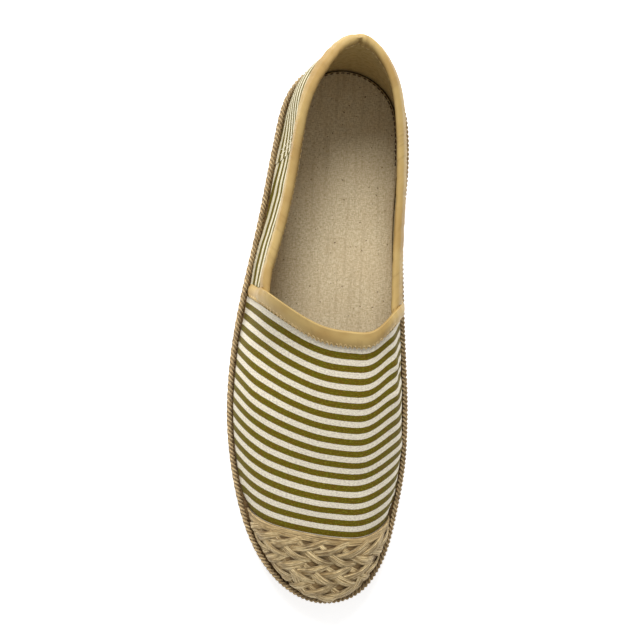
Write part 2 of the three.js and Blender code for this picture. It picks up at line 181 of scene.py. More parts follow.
def spline(xs, ys):
    """Natural cubic spline through the points."""
    count = len(xs)
    step = np.diff(xs)
    system = np.zeros((count, count))
    right = np.zeros(count)
    system[0, 0] = system[-1, -1] = 1
    for i in range(1, count - 1):
        system[i, i - 1 : i + 2] = step[i - 1], 2 * (step[i - 1] + step[i]), step[i]
        right[i] = 6 * ((ys[i + 1] - ys[i]) / step[i] - (ys[i] - ys[i - 1]) / step[i - 1])
    bend = np.linalg.solve(system, right)

    def curve(x):
        i = np.clip(np.searchsorted(xs, x) - 1, 0, count - 2)
        span = xs[i + 1] - xs[i]
        t = (x - xs[i]) / span
        s = 1 - t
        pull = (s**3 - s) * bend[i] + (t**3 - t) * bend[i + 1]
        return s * ys[i] + t * ys[i + 1] + span**2 / 6 * pull

    return curve


half_width = {name: spline(turn_of(OUTLINE["at"]), OUTLINE[name]) for name in OUTLINE}
section = {name: spline(turn_of(SECTION["at"]), SECTION[name]) for name in SECTION}
collar_curve = spline(turn_of(COLLAR["at"]), COLLAR["height"])
throat_curve = spline(THROAT["at"], THROAT["back"])
cap_curve = spline(CAP["at"], CAP["back"])


def across(x):
    return np.clip((x - AXIS_X) / BALL, -0.6, 0.5)


def throat_back(x):
    return throat_curve(across(x))


def cap_back(x):
    return cap_curve(across(x))


def collar_height(y):
    return collar_curve(turn_of(np.minimum(0.5 - y / LENGTH, 0.55)))


def underside(share):
    arch = ARCH * ease(share, 0.3, 0.45) * (1 - ease(share, 0.45, 0.6))
    spring = np.maximum(0, (share - 0.76) / 0.24)
    return arch + TOE_SPRING * spring**2


def feather(share):
    """Top of the jute platform."""
    to_ball = (SOLE_BALL - SOLE_HEEL) * ease(share, 0.15, 0.62)
    to_toe = (SOLE_TOE - SOLE_BALL) * ease(share, 0.62, 1)
    return underside(share) + SOLE_HEEL + to_ball + to_toe


def edge(turn, side):
    width = np.where(side < 0, half_width["lateral"](turn), half_width["medial"](turn))
    return side * BALL * width, HALF * np.cos(turn)


def outline(turn, inset, side):
    """Plan position on the sole's outline, moved in from the edge."""
    step = 1e-4
    x0, y0 = edge(np.maximum(turn - step, 0), side)
    x1, y1 = edge(np.minimum(turn + step, math.pi), side)
    length = np.hypot(x1 - x0, y1 - y0)
    out_x = -(y1 - y0) / length * side
    out_y = (x1 - x0) / length * side
    end = (turn < step) | (turn > math.pi - step)
    out_x = np.where(end, 0, out_x)
    out_y = np.where(end, np.sign(np.cos(turn)), out_y)
    x, y = edge(turn, side)
    return x - inset * out_x + AXIS_X, y - inset * out_y


def paired(u, v):
    return np.stack(np.broadcast_arrays(u, v), -1)


def by_side(name, turn, side):
    """A column of the sections that differs between the outer and the big-toe side."""
    return np.where(side < 0, section["lat_" + name](turn), section["med_" + name](turn))


def on_upper(turn, side, up, depth=0.0):
    """Point on the upper's outer face moved out by depth. up runs from foot to ridge."""
    turn, side, up, depth = np.broadcast_arrays(
        *(np.asarray(value, float) for value in (turn, side, up, depth))
    )
    share = share_of(turn)
    tuck = section["tuck"](turn)
    out, straight, lean = (by_side(name, turn, side) for name in ("out", "up", "lean"))
    foot_x, foot_y = outline(turn, tuck - depth, side)
    low = feather(share)
    shrink = (HALF - tuck + depth) / HALF
    heel_in = HEEL_IN * np.maximum(0, 1 - share / 0.12)
    ridge = np.stack(
        [
            AXIS_X + section["ridge"](turn) * BALL,
            LENGTH * (0.5 - share) * shrink - heel_in,
            low + section["rise"](turn) * INSTEP + depth,
        ],
        -1,
    )
    height = ridge[..., 2] - low
    base = np.stack([foot_x, foot_y, low], -1)
    wall = np.stack([foot_x - side * lean * BALL, foot_y, low + straight * height], -1)
    shoulder = ridge + (base - ridge) * out[..., None]
    shoulder[..., 2] = ridge[..., 2]
    t = up[..., None]
    s = 1 - t
    return s**3 * base + 3 * s**2 * t * wall + 3 * s * t**2 * shoulder + t**3 * ridge


def root(fall, low, high):
    """Root of a falling function, for whole arrays of ends."""
    low, high = np.broadcast_arrays(np.asarray(low, float), np.asarray(high, float))
    a, b = low.copy(), high.copy()
    for _ in range(26):
        middle = (a + b) / 2
        more = fall(middle) > 0
        a = np.where(more, middle, a)
        b = np.where(more, b, middle)
    return (a + b) / 2


def relief(points):
    """Height of the creases at points of the upper, from their place in plan."""
    x = points[..., 0] - AXIS_X
    y = points[..., 1]
    total = np.zeros(x.shape)
    for x0, y0, x1, y1, width, height in zip(*CREASES.values()):
        dx, dy = x1 - x0, y1 - y0
        along = np.clip(((x - x0) * dx + (y - y0) * dy) / (dx**2 + dy**2), 0, 1)
        away = np.hypot(x - x0 - along * dx, y - y0 - along * dy)
        total += height * np.exp(-((away / width) ** 2))
    return total


def flare(turn, up):
    """The cloth turns out at its foot to meet the rope."""
    short = np.maximum(0, section["tuck"](turn) - ROPE_INSET - ROPE - GAP)
    return short * (1 - ease(up, 0, 0.16))


def creased(turn, side, up, depth=0.0):
    return on_upper(turn, side, up, depth + relief(on_upper(turn, side, up)))


def measure(points, axis):
    """Length run along one axis of a grid of points, from its first row."""
    steps = np.linalg.norm(np.diff(points, axis=axis), axis=-1)
    start = np.zeros_like(np.take(steps, [0], axis=axis))
    return np.cumsum(np.concatenate([start, steps], axis=axis), axis=axis)


def unit(vectors):
    return vectors / np.maximum(np.linalg.norm(vectors, axis=-1, keepdims=True), 1e-9)


def across_path(path, out):
    """Directions beside a path and away from the surface that it lies on."""
    tangent = unit(np.gradient(path, axis=0))
    beside = unit(np.cross(tangent, out))
    return beside, np.cross(beside, tangent)


def along_path(at, run, values):
    """Points or directions at the lengths at, from those at the lengths run."""
    return np.stack([np.interp(at, run, values[:, i]) for i in range(3)], -1)


class Mesh:
    """Gathers grids and tubes, then makes one object of them."""

    def __init__(self):
        self.points = []
        self.faces = []
        self.corners = []
        self.slots = []
        self.count = 0

    def put(self, points):
        first = self.count
        self.points.append(points.reshape(-1, 3))
        self.count += len(self.points[-1])
        return first

    def quads(self, faces, corners, slot=0):
        self.faces.append(faces.reshape(-1, faces.shape[-1]))
        self.corners.append(corners.reshape(-1, 2))
        self.slots.append(np.full(len(self.faces[-1]), slot))

    def grid(self, points, cloth, slot=0, ring=False, loop=False):
        """Faces over a grid. ring joins the last column to the first, loop the last row."""
        rows, columns = points.shape[:2]
        first = self.put(points)
        i = np.arange(rows if loop else rows - 1)[:, None]
        j = np.arange(columns if ring else columns - 1)[None, :]
        below, beside = (i + 1) % rows, (j + 1) % columns
        here, there = first + i * columns, first + below * columns
        faces = np.stack([here + j, there + j, there + beside, here + beside], -1)
        corners = [cloth[i, j], cloth[i + 1, j], cloth[i + 1, j + 1], cloth[i, j + 1]]
        self.quads(faces, np.stack(corners, -2), slot)
        return first

    def fan(self, first, size, tip, cloth, slot=0):
        """Closes a ring of points with triangles to a tip."""
        centre = self.put(tip)
        j = np.arange(size)
        faces = np.stack([first + j, first + (j + 1) % size, np.full(size, centre)], -1)
        self.quads(faces, np.broadcast_to(cloth, (size, 3, 2)), slot)

    def tube(self, path, wide, high, sides, slot=0, loop=False, start=0.0, lobes=None):
        """Tube round a path. wide and high are its cross-section's axes at each point.
        lobes is (their count, how deep they are, how far they turn at each point)."""
        angle = np.linspace(0, 2 * np.pi, sides, endpoint=False)[None, :]
        swell = 1.0
        if lobes:
            count, deep, spin = lobes
            swell = 1 + deep * np.cos(count * angle + spin[:, None])
        c, s = (np.cos(angle) * swell)[..., None], (np.sin(angle) * swell)[..., None]
        rings = path[:, None] + wide[:, None] * c + high[:, None] * s
        run = start + measure(path, 0)
        girth = np.linspace(0, 1, sides + 1) * 2 * np.pi * np.linalg.norm(wide, axis=-1).mean()
        if loop:
            run = np.append(run, run[-1] + np.linalg.norm(path[0] - path[-1]))
        cloth = paired(run[:, None], girth[None, :])
        first = self.grid(rings, cloth, slot, ring=True, loop=loop)
        if not loop:
            self.fan(first, sides, path[0], cloth[0, 0], slot)
            self.fan(first + (len(path) - 1) * sides, sides, path[-1], cloth[-1, 0], slot)

    def build(self, name, materials, sharp=50):
        data = bpy.data.meshes.new(name)
        points = np.concatenate(self.points) * 0.001
        sizes = np.concatenate([np.full(len(f), f.shape[1]) for f in self.faces])
        indices = np.concatenate([f.ravel() for f in self.faces])
        data.vertices.add(len(points))
        data.vertices.foreach_set("co", points.ravel())
        data.loops.add(len(indices))
        data.loops.foreach_set("vertex_index", indices.astype(np.int32))
        data.polygons.add(len(sizes))
        starts = np.concatenate([[0], np.cumsum(sizes)[:-1]])
        data.polygons.foreach_set("loop_start", starts.astype(np.int32))
        data.polygons.foreach_set("material_index", np.concatenate(self.slots).astype(np.int32))
        layer = data.uv_layers.new(name="cloth")
        layer.data.foreach_set("uv", np.concatenate(self.corners).ravel())
        data.update(calc_edges=True)
        data.validate()
        work = bmesh.new()
        work.from_mesh(data)
        bmesh.ops.remove_doubles(work, verts=work.verts, dist=2e-7)
        bmesh.ops.recalc_face_normals(work, faces=work.faces)
        work.to_mesh(data)
        work.free()
        for material in materials:
            data.materials.append(material)
        data.shade_smooth()
        data.set_sharp_from_angle(angle=math.radians(sharp))
        piece = bpy.data.objects.new(name, data)
        bpy.context.scene.collection.objects.link(piece)
        return piece


def rim(grid):
    """Points round the border of a grid, in order."""
    return np.concatenate([grid[0, :-1], grid[:-1, -1], grid[-1, :0:-1], grid[:0:-1, 0]])


def sandwich(mesh, top, bottom, cloth, slots=(0, 0, 0), between=()):
    """Closed sheet between two grids of the same size, with rings between their rims."""
    mesh.grid(top, cloth, slots[0])
    mesh.grid(bottom, cloth, slots[1])
    rings = np.stack([rim(top), *(rim(ring) for ring in between), rim(bottom)])
    run = np.append(measure(rings[0], 0), 0.0)
    run[-1] = run[-2] + 1.0
    fall = measure(rings, 0).mean(1)
    side = paired(run[None, :], fall[:, None])
    mesh.grid(rings, side, slots[2], ring=True)


def srgb(red, green, blue):
    """Linear colour from the 0 to 255 values of a screen."""
    values = np.array([red, green, blue]) / 255
    linear = np.where(values <= 0.04045, values / 12.92, ((values + 0.055) / 1.055) ** 2.4)
    return (*linear.tolist(), 1.0)


class Look:
    """A node material under construction."""

    def __init__(self, name, roughness=0.9, sheen=0.0, specular=0.3):
        self.material = bpy.data.materials.new(name)
        self.material.use_nodes = True
        self.tree = self.material.node_tree
        self.shader = self.tree.nodes["Principled BSDF"]
        values = {"Roughness": roughness, "Specular IOR Level": specular}
        values |= {"Sheen Weight": sheen, "Sheen Roughness": 0.5}
        for key, value in values.items():
            self.shader.inputs[key].default_value = value

    def node(self, kind, values=(), **settings):
        made = self.tree.nodes.new(kind)
        for name, value in settings.items():
            setattr(made, name, value)
        for key, value in dict(values).items():
            if isinstance(value, bpy.types.NodeSocket):
                self.tree.links.new(value, made.inputs[key])
            else:
                made.inputs[key].default_value = value
        return made

    def math(self, operation, a, b=0.0, c=0.0):
        values = {0: a, 1: b, 2: c}
        return self.node("ShaderNodeMath", values, operation=operation).outputs[0]

    def uv(self):
        """The piece's own cloth directions in millimetres."""
        uv = self.node("ShaderNodeUVMap", uv_map="cloth").outputs[0]
        return self.node("ShaderNodeSeparateXYZ", {0: uv}).outputs[:2]

    def cloth(self, along, over, seed=0.0):
        """The cloth directions scaled, as the place for a noise."""
        u, v = self.uv()
        u, v = self.math("MULTIPLY", u, along), self.math("MULTIPLY", v, over)
        return self.node("ShaderNodeCombineXYZ", {0: u, 1: v, 2: seed}).outputs[0]

    def place(self):
        """Object position."""
        return self.node("ShaderNodeTexCoord").outputs["Object"]

    def noise(self, vector, scale=1.0, detail=2.0, rough=0.5):
        values = {"Vector": vector, "Scale": scale, "Detail": detail, "Roughness": rough}
        return self.node("ShaderNodeTexNoise", values).outputs["Fac"]

    def reach(self, value, low, high, start=0.0, end=1.0):
        values = {0: value, 1: low, 2: high, 3: start, 4: end}
        made = self.node("ShaderNodeMapRange", values, interpolation_type="SMOOTHSTEP")
        return made.outputs[0]

    def mix(self, factor, first, second):
        """Mixes two colours, each a socket or the 0 to 255 values of a screen."""
        first, second = (srgb(*c) if isinstance(c, tuple) else c for c in (first, second))
        values = {0: factor, 6: first, 7: second}
        return self.node("ShaderNodeMix", values, data_type="RGBA", blend_type="MIX").outputs[2]

    def tint(self, colour, other, value, low, high, most=1.0):
        """Lays another colour over one, rising to most where the value goes low to high."""
        return self.mix(self.reach(value, low, high, 0.0, most), colour, other)

    def wave(self, value, pitch):
        return self.math("SINE", self.math("MULTIPLY", value, 2 * math.pi / pitch))

    def done(self, colour, height=None, distance=0.1, strength=1.0, roughness=None):
        self.tree.links.new(colour, self.shader.inputs["Base Color"])
        if height is not None:
            values = {"Height": height, "Distance": distance * 0.001, "Strength": strength}
            bump = self.node("ShaderNodeBump", values)
            self.tree.links.new(bump.outputs[0], self.shader.inputs["Normal"])
        if roughness is not None:
            self.tree.links.new(roughness, self.shader.inputs["Roughness"])
        return self.material


def striped_canvas(name, light, dull):
    look = Look(name, roughness=0.9, sheen=0.04, specular=0.12)
    u, v = look.uv()
    drift = look.noise(look.cloth(0.05, 0.02, 3.0), detail=1.0)
    frayed = look.noise(look.cloth(2.4, 1.0, 5.0), detail=1.0)
    shift = look.math("MULTIPLY_ADD", look.math("SUBTRACT", drift, 0.5), 0.1, 0.0)
    fray = look.math("MULTIPLY", look.math("SUBTRACT", frayed, 0.5), 0.07)
    phase = look.math("ADD", look.math("DIVIDE", v, STRIPE), look.math("ADD", shift, fray))
    tri = look.math("PINGPONG", look.math("SUBTRACT", phase, 0.755), 0.5)
    olive = look.reach(tri, 0.285, 0.245)
    weave = look.math("MULTIPLY", look.wave(u, 0.62), look.wave(v, 0.66))
    rib = look.wave(v, 0.88)
    mottle = look.noise(look.cloth(0.35, 1.6, 7.0), detail=3.0, rough=0.65)
    speck = look.noise(look.cloth(1.0, 1.7, 9.0), detail=3.0, rough=0.75)
    green = look.tint((100, 95, 2), (106, 80, 6), mottle, 0.35, 0.65)
    green = look.tint(green, (64, 50, 6), rib, 0.2, 1.0, 0.35)
    white = look.tint(light, dull, speck, 0.38, 0.66)
    green = look.tint(green, (150, 140, 48), speck, 0.52, 0.68, 0.6)
    green = look.tint(green, (58, 44, 2), speck, 0.46, 0.32, 0.6)
    colour = look.mix(olive, white, green)
    colour = look.mix(look.reach(weave, -1.0, 0.2, 0.12, 0.0), colour, (70, 60, 40))
    height = look.math("ADD", weave, look.math("MULTIPLY", speck, 1.4))
    return look.done(colour, height, distance=0.07, strength=0.6)


def cotton(name, light, dark):
    look = Look(name, roughness=0.92, sheen=0.1, specular=0.15)
    u, v = look.uv()
    weave = look.math("MULTIPLY", look.wave(u, 0.55), look.wave(v, 0.55))
    cloud = look.noise(look.cloth(0.5, 0.5, 2.0), detail=3.0)
    colour = look.tint(light, dark, cloud, 0.35, 0.7)
    colour = look.mix(look.reach(weave, -1.0, 0.3, 0.1, 0.0), colour, (90, 75, 45))
    return look.done(colour, weave, distance=0.04, strength=0.3)


def linen():
    look = Look("insole_linen", roughness=0.92, sheen=0.08, specular=0.15)
    along = look.noise(look.cloth(2.0, 0.6, 1.0), detail=3.0, rough=0.7)
    over = look.noise(look.cloth(0.6, 2.0, 2.0), detail=3.0, rough=0.7)
    thread = look.math("ADD", along, over)
    speck = look.noise(look.cloth(2.6, 2.6, 4.0), detail=2.0, rough=0.7)
    nep = look.noise(look.cloth(0.55, 0.7, 6.0), detail=1.0)
    cloud = look.noise(look.cloth(0.05, 0.05, 8.0), detail=2.0)
    colour = look.tint((174, 158, 124), (216, 202, 172), thread, 0.78, 1.22)
    colour = look.tint(colour, (232, 220, 194), speck, 0.56, 0.72, 0.4)
    colour = look.tint(colour, (188, 168, 134), cloud, 0.3, 0.7, 0.3)
    slub = look.noise(look.cloth(0.5, 0.03, 12.0), detail=2.0)
    colour = look.tint(colour, (160, 142, 110), slub, 0.5, 0.7, 0.3)
    colour = look.tint(colour, (84, 60, 40), nep, 0.71, 0.76, 0.8)
    height = look.math("ADD", thread, look.math("MULTIPLY", speck, 0.5))
    return look.done(colour, height, distance=0.12, strength=0.35)


def tape():
    look = Look("binding_tape", roughness=0.5, sheen=0.0, specular=0.25)
    grain = look.noise(look.place(), scale=2600.0, detail=2.0, rough=0.6)
    wave = look.noise(look.cloth(0.25, 0.06, 3.0), detail=3.0, rough=0.6)
    cloud = look.noise(look.place(), scale=60.0, detail=2.0)
    colour = look.tint((186, 158, 100), (170, 138, 82), cloud, 0.35, 0.65)
    # Darker along the wrinkles: painted crease shade.
    colour = look.tint(colour, (134, 104, 58), wave, 0.52, 0.72, 0.35)
    height = look.math("ADD", look.math("MULTIPLY", grain, 0.35), look.math("MULTIPLY", wave, 3.0))
    rough = look.reach(grain, 0.3, 0.7, 0.44, 0.58)
    return look.done(colour, height, distance=0.14, strength=0.7, roughness=rough)


def jute(name, light, middle, dark, fibre=2.4, strand=None, crown=0.0, gap_shade=0.8):
    """Straw-like fibres run along each strand. strand is its radius in millimetres and crown the
    place of its top; with them, painted shade darkens the sides of each strand into the gaps
    between strands, up to the share given last."""
    look = Look(name, roughness=0.78, sheen=0.1, specular=0.3)
    streak = look.noise(look.cloth(0.09, fibre, 1.0), detail=4.0, rough=0.7)
    fine = look.noise(look.cloth(0.25, fibre * 2.2, 5.0), detail=2.0, rough=0.6)
    patch = look.noise(look.place(), scale=170.0, detail=2.0)
    colour = look.tint(middle, light, streak, 0.45, 0.57)
    colour = look.tint(colour, dark, fine, 0.5, 0.32, 0.8)
    colour = look.tint(colour, dark, patch, 0.45, 0.75, 0.45)
    if strand:
        # Painted shade: darker where the strand turns away from its top, into the gaps.
        angle = look.math("SUBTRACT", look.math("DIVIDE", look.uv()[1], strand), crown)
        painted_gap_shade = look.reach(look.math("COSINE", angle), 0.45, -0.3, 0.0, gap_shade)
        colour = look.mix(painted_gap_shade, colour, dark)
    height = look.math("ADD", streak, look.math("MULTIPLY", fine, 0.8))
    return look.done(colour, height, distance=0.4, strength=1.0)


def rubber():
    look = Look("outsole_rubber", roughness=0.62, specular=0.35)
    crumb = look.noise(look.place(), scale=1400.0, detail=3.0)
    cloud = look.noise(look.place(), scale=50.0, detail=2.0)
    colour = look.tint((124, 96, 60), (104, 78, 46), cloud, 0.3, 0.7)
    return look.done(colour, crumb, distance=0.12, strength=0.6)


def thread(name, light, dark):
    look = Look(name, roughness=0.6, sheen=0.1)
    ply = look.noise(look.cloth(1.6, 0.6, 2.0), detail=2.0)
    colour = look.tint(light, dark, ply, 0.35, 0.65)
    return look.done(colour, ply, distance=0.08)


def paper():
    look = Look("pale_floor", roughness=0.9, specular=0.1)
    cloud = look.noise(look.place(), scale=3.0, detail=1.0)
    colour = look.tint((250, 250, 250), (247, 247, 247), cloud, 0.2, 0.8)
    look.shader.inputs["Emission Color"].default_value = (1.0, 1.0, 1.0, 1.0)
    look.shader.inputs["Emission Strength"].default_value = 0.55
    return look.done(colour)


CANVAS = striped_canvas("striped_canvas", (238, 230, 206), (202, 190, 174))
# Copy of the canvas for the quarters and heel piece, its whites duller and warmer: painted shade
# and yellowish bounce light.
SHADED_SIDE_CANVAS = striped_canvas("side_canvas_painted_shade", (234, 225, 194), (204, 194, 164))
LINING = cotton("cream_lining", (206, 182, 122), (188, 162, 100))
LINEN = linen()
TAN_TAPE = tape()
# The plait strands take painted shade on their sides, toward the gaps between them.
ROUND = {"strand": STRAND["wide"], "crown": math.pi / 2, "gap_shade": 0.65}
PLAITED = jute("jute_plait", (240, 216, 164), (168, 140, 92), (84, 60, 30), 1.5, **ROUND)
BANDED = jute("jute_band", (222, 196, 144), (180, 152, 102), (104, 78, 42))
# Jute base of the toe cap, a darker copy of the plait jute: painted shade seen through the gaps
# between the strands.
SHADED_FILL = jute("jute_fill_painted_shade", (172, 144, 96), (134, 106, 66), (84, 60, 34))
CORE = jute("jute_core", (140, 112, 70), (108, 82, 48), (60, 42, 22))
# Painted shade on the rope's plies, toward the grooves between them.
ROUND = {"strand": ROPE / 2 * PLY, "gap_shade": 0.4}
TWISTED = jute("jute_rope", (234, 210, 162), (196, 166, 118), (134, 106, 70), **ROUND)
COURSE = jute("jute_course", (176, 148, 100), (134, 106, 66), (60, 42, 22))
CRUMB = rubber()
TAN_THREAD = thread("tan_thread", (232, 208, 152), (192, 158, 100))
BROWN_THREAD = thread("brown_thread", (92, 66, 36), (56, 38, 20))


def dress(piece, slot_name, *nodes):
    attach(piece, "root")
    if nodes:
        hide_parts(*nodes)
    return piece


# Camera: the photograph's own station point, nearly straight above the shoe.
EYE = np.array([-32.1, -1.7, 425.0])
AIM = np.array([-1.5, 5.0, 28.0])
LEAN = math.radians(2.06)  # the heel leans to the right of the picture by this much
LENS = 49.5


def aimed(name, data, place, ray, top):
    """Camera or light at a place in metres, looking along a ray, its upper side to top."""
    right = unit(np.cross(ray, top))
    rows = np.column_stack([right, np.cross(right, ray), -ray, place])
    thing = bpy.data.objects.new(name, data)
    thing.matrix_world = Matrix([*rows.tolist(), [0, 0, 0, 1]])
    bpy.context.scene.collection.objects.link(thing)
    return thing


top = [-math.sin(LEAN), math.cos(LEAN), 0.0]
camera = aimed("camera", bpy.data.cameras.new("camera"), EYE * 0.001, unit(AIM - EYE), top)
camera.data.sensor_width = 36
camera.data.lens = LENS
camera.data.clip_start = 0.01
bpy.context.scene.camera = camera
bpy.context.scene.view_settings.view_transform = "Standard"

# One large softbox on the heel side, an even pale room and a floor lit from below.
world = bpy.data.worlds.new("room")
world.use_nodes = True
sky = world.node_tree.nodes["Background"].inputs
sky["Color"].default_value = (1, 1, 1, 1)
sky["Strength"].default_value = 0.5
bpy.context.scene.world = world


def softbox(name, place, aim, size, power):
    lamp = bpy.data.lights.new(name, "AREA")
    lamp.shape = "SQUARE"
    lamp.size = size
    lamp.energy = power
    aimed(name, lamp, place, unit(np.subtract(aim, place)), [0.0, 0.0, 1.0])


softbox("key", (-0.19, 0.98, 1.02), (0.0, 0.0, 0.02), 0.65, 22.5)

floor = Mesh()
span = np.linspace(-1500.0, 1500.0, 3)
flat = np.stack([*np.meshgrid(span, span, indexing="ij"), np.zeros((3, 3))], -1)
floor.grid(flat, flat[..., :2])
floor.build("floor", [paper()])


# Vamp: rows run from the throat line to the toe cap's back edge, then on to the toe.
def vamp_line(t, x):
    back, front = throat_back(x), cap_back(x)
    return np.where(t < 1, back + (front - back) * t, front - (t - 1) * CAP_RUN)


def vamp_turn(t, side, up):
    def fall(turn):
        p = on_upper(turn, side, up)
        return p[..., 1] - vamp_line(t, p[..., 0])

    return root(fall, turn_of(0.2), math.pi)


RIDGE = 48  # column of the vamp's grid that runs along its ridge
ups = np.linspace(0, 1, RIDGE + 1)
vamp_side = np.concatenate([np.full(RIDGE + 1, -1.0), np.full(RIDGE, 1.0)])[None, :]
vamp_up = np.concatenate([ups, ups[-2::-1]])[None, :]

# The last row lies just before the tip, and the rows at TIP close the toe from there.
LAST_ROW = 1.995
TIP = np.array([0.3, 0.6, 0.85, 1.0])[:, None]


def to_tip(turns):
    return np.concatenate([turns, turns[-1:] + (math.pi - turns[-1:]) * TIP])


def walls(turns, side, up, outer, inner, spot=creased):
    """Outer and inner face of a sheet, its foot line clear of the platform."""
    foot = np.broadcast_to(up == 0, turns.shape)
    sheets = [spot(turns, side, up, depth) for depth in (outer, inner)]
    for sheet in sheets:
        sheet[foot, 2] += GAP
    return sheets


def from_ridge(points):
    """Length run across the vamp, from its ridge."""
    run = measure(points, 1)
    return run - run[:, RIDGE : RIDGE + 1]


vamp_t = np.append(np.linspace(VAMP_START, 1, 112), np.linspace(1, LAST_ROW, 18)[1:])[:, None]
turns = to_tip(vamp_turn(vamp_t, vamp_side, vamp_up))
vamp_t = np.concatenate([vamp_t, LAST_ROW + (2 - LAST_ROW) * TIP])
turned = flare(turns, vamp_up) * (1 - ease(vamp_t, 0.92, 1.0))
face, back = walls(turns, vamp_side, vamp_up, turned, turned - WALL)
first_stripe = TAPE * TAPE_PLAN / VAMP_RUN
stripes = (vamp_t - first_stripe) / (1 - first_stripe) * VAMP_STRIPES
cloth = paired(from_ridge(face), stripes * STRIPE)
vamp = Mesh()
sandwich(vamp, face, back, cloth, slots=(0, 1, 0))
dress(vamp.build("vamp", [CANVAS, LINING]), "striped_canvas", "upper")


# Quarters and heel piece, up to the collar.
def under_collar(turn, side, below=0.0, depth=0.0):
    """The up at which the wall is a distance below the collar."""

    def fall(up):
        p = on_upper(turn, side, up, depth)
        return collar_height(p[..., 1]) - below - p[..., 2]

    return root(fall, 0.0, 1.0)


dense = np.linspace(0, turn_of(0.6), 240)
collar_ups = [under_collar(dense, side) for side in (-1.0, 1.0)]


def collar_up(turn, side):
    outer, inner = (np.interp(turn, dense, ups) for ups in collar_ups)
    return np.where(side < 0, outer, inner)


def heel_round(make):
    """Joins what the function makes for the two sides, round the heel."""
    return np.concatenate([make(-1.0)[::-1], make(1.0)[1:]])


def throat_turn(side, w, shift):
    """Where a line at share w of the wall's height meets the vamp's back edge."""

    def fall(turn):
        p = on_upper(turn, side, w * collar_up(turn, side))
        return p[..., 1] - throat_back(p[..., 0]) + shift

    return root(fall, turn_of(0.2), turn_of(0.6))


def seam_turn(w):
    away = HEEL_SEAM["foot"] + (HEEL_SEAM["collar"] - HEEL_SEAM["foot"]) * w
    return turn_of(away / LENGTH)


def side_piece(name, turns, side, outer, inner, first_stripe):
    """Piece of the wall up to the collar, its stripes counted down from there."""
    face, back = walls(turns, side, wall * collar_up(turns, side), outer, inner)
    down = measure(face[:, ::-1], 1)[:, ::-1]
    cloth = np.stack([measure(face, 0), down + first_stripe], -1)
    piece = Mesh()
    sandwich(piece, face, back, cloth, slots=(0, 1, 0))
    dress(piece.build(name, [SHADED_SIDE_CANVAS, LINING]), "striped_canvas")


wall = np.linspace(0, 1, 27)[None, :]
q = np.linspace(0, 1, 80)[:, None]
for side, name in ((-1.0, "quarter_lateral"), (1.0, "quarter_medial")):
    start = seam_turn(wall) - 0.035
    end = throat_turn(side, wall, 1.6)
    sunk = -0.25 * ease(q, 0.9, 1.0)  # under the vamp's edge
    side_piece(name, start + (end - start) * q, side, sunk, sunk - WALL, 2.2)

a = np.linspace(-1, 1, 121)[:, None]
proud = HEEL_PROUD * ease(np.abs(a), 0.55, 0.85)
lining = -WALL + 0.2 * ease(np.abs(a), 0.8, 0.95)
turns = np.abs(a) * seam_turn(wall)
side_piece("heel_piece", turns, np.where(a < 0, -1.0, 1.0), proud, lining, 0.6)


# Bindings.
HALF_OPEN = WALL / 2 + GAP  # inside of the fold, from the middle of the wall
FOLD = HALF_OPEN + TAPE_THICK


def folded(outer_leg, inner_leg, closed=1.0, top_end=0.7, tight=1.0):
    """Cross-section of a folded tape as (distance from the canvas edge into the shoe's
    wall, depth). The legs are the tape's widths outside and inside; closed is 1 where
    it wraps the edge and 0 where it lies on the outer face alone. The fold turns at
    top_end and is pressed flat where tight is under 1."""
    middle = -WALL / 2
    legs = np.linspace(1, 0, 7)
    arc = np.linspace(0, math.pi, 11)[1:-1]
    rows = []
    for reach, puff in ((FOLD, 0.6), (HALF_OPEN, 0.1)):
        bulge = puff * np.sin(math.pi * np.clip((1 - legs) * 1.1, 0, 1)) ** 0.7
        outer = np.stack([top_end + (outer_leg - top_end) * legs, middle + reach + bulge], -1)
        bend = np.stack([top_end - tight * reach * np.sin(arc), middle + reach * np.cos(arc)], -1)
        inner = np.stack([top_end + (inner_leg - top_end) * legs, middle - reach + 0 * legs], -1)
        rows.append(np.concatenate([outer, bend, inner[::-1]]))
    outer_row, inner_row = rows
    profile = np.concatenate([outer_row, inner_row[::-1]])
    if closed < 1:
        squeezed = profile.copy()
        low = GAP + np.where(np.arange(len(profile)) < len(outer_row), 0.0, 0.05)
        squeezed[:, 1] = np.maximum(squeezed[:, 1], low)
        squeezed[:, 0] = np.maximum(squeezed[:, 0], -FOLD * 0.6)
        on_inside = profile[:, 1] < middle
        squeezed[on_inside, 0] = np.minimum(squeezed[on_inside, 0], 1.2)
        profile = squeezed + (profile - squeezed) * closed
    return profile


def puckers(run, seed):
    waves = [(3.3, 0.05), (4.9, 0.06), (7.9, 0.07), (13.0, 0.06)]
    total = np.zeros_like(run)
    for k, (length, size) in enumerate(waves):
        total += size * np.sin(2 * math.pi * run / length + seed * (k + 1.7))
    return total * (0.55 + 0.45 * np.sin(run / 17.0 + seed))


def collar_spot(turn, side, below, depth):
    return on_upper(turn, side, under_collar(turn, side, below, depth), depth)


def collar_path(side, profile, count, clear):
    """Rings of the collar tape on one side, from the heel to the vamp."""
    below, depth = profile[None, :, 0], profile[None, :, 1]

    def fall(turn):
        p = collar_spot(turn, side, below, depth)
        return p[..., 1] - throat_back(p[..., 0]) - clear

    end = root(fall, turn_of(0.3), turn_of(0.56))
    share = np.linspace(0, 1, count)[:, None]
    turn = share * end
    plain = collar_spot(turn, side, below, depth)
    run = measure(plain, 0).mean(1, keepdims=True)
    tucked = 0.5 * ease(share, 0.985, 1.0)
    way = np.where(depth > -WALL / 2, 1.0, -1.0)  # out of the shoe on its outer face
    notch = 1.1 * np.exp(-((run / 0.8) ** 2)) * (way < 0)
    moved = depth + puckers(run, 2.0 + side) * way + notch - tucked * way
    return collar_spot(turn, side, below, moved)


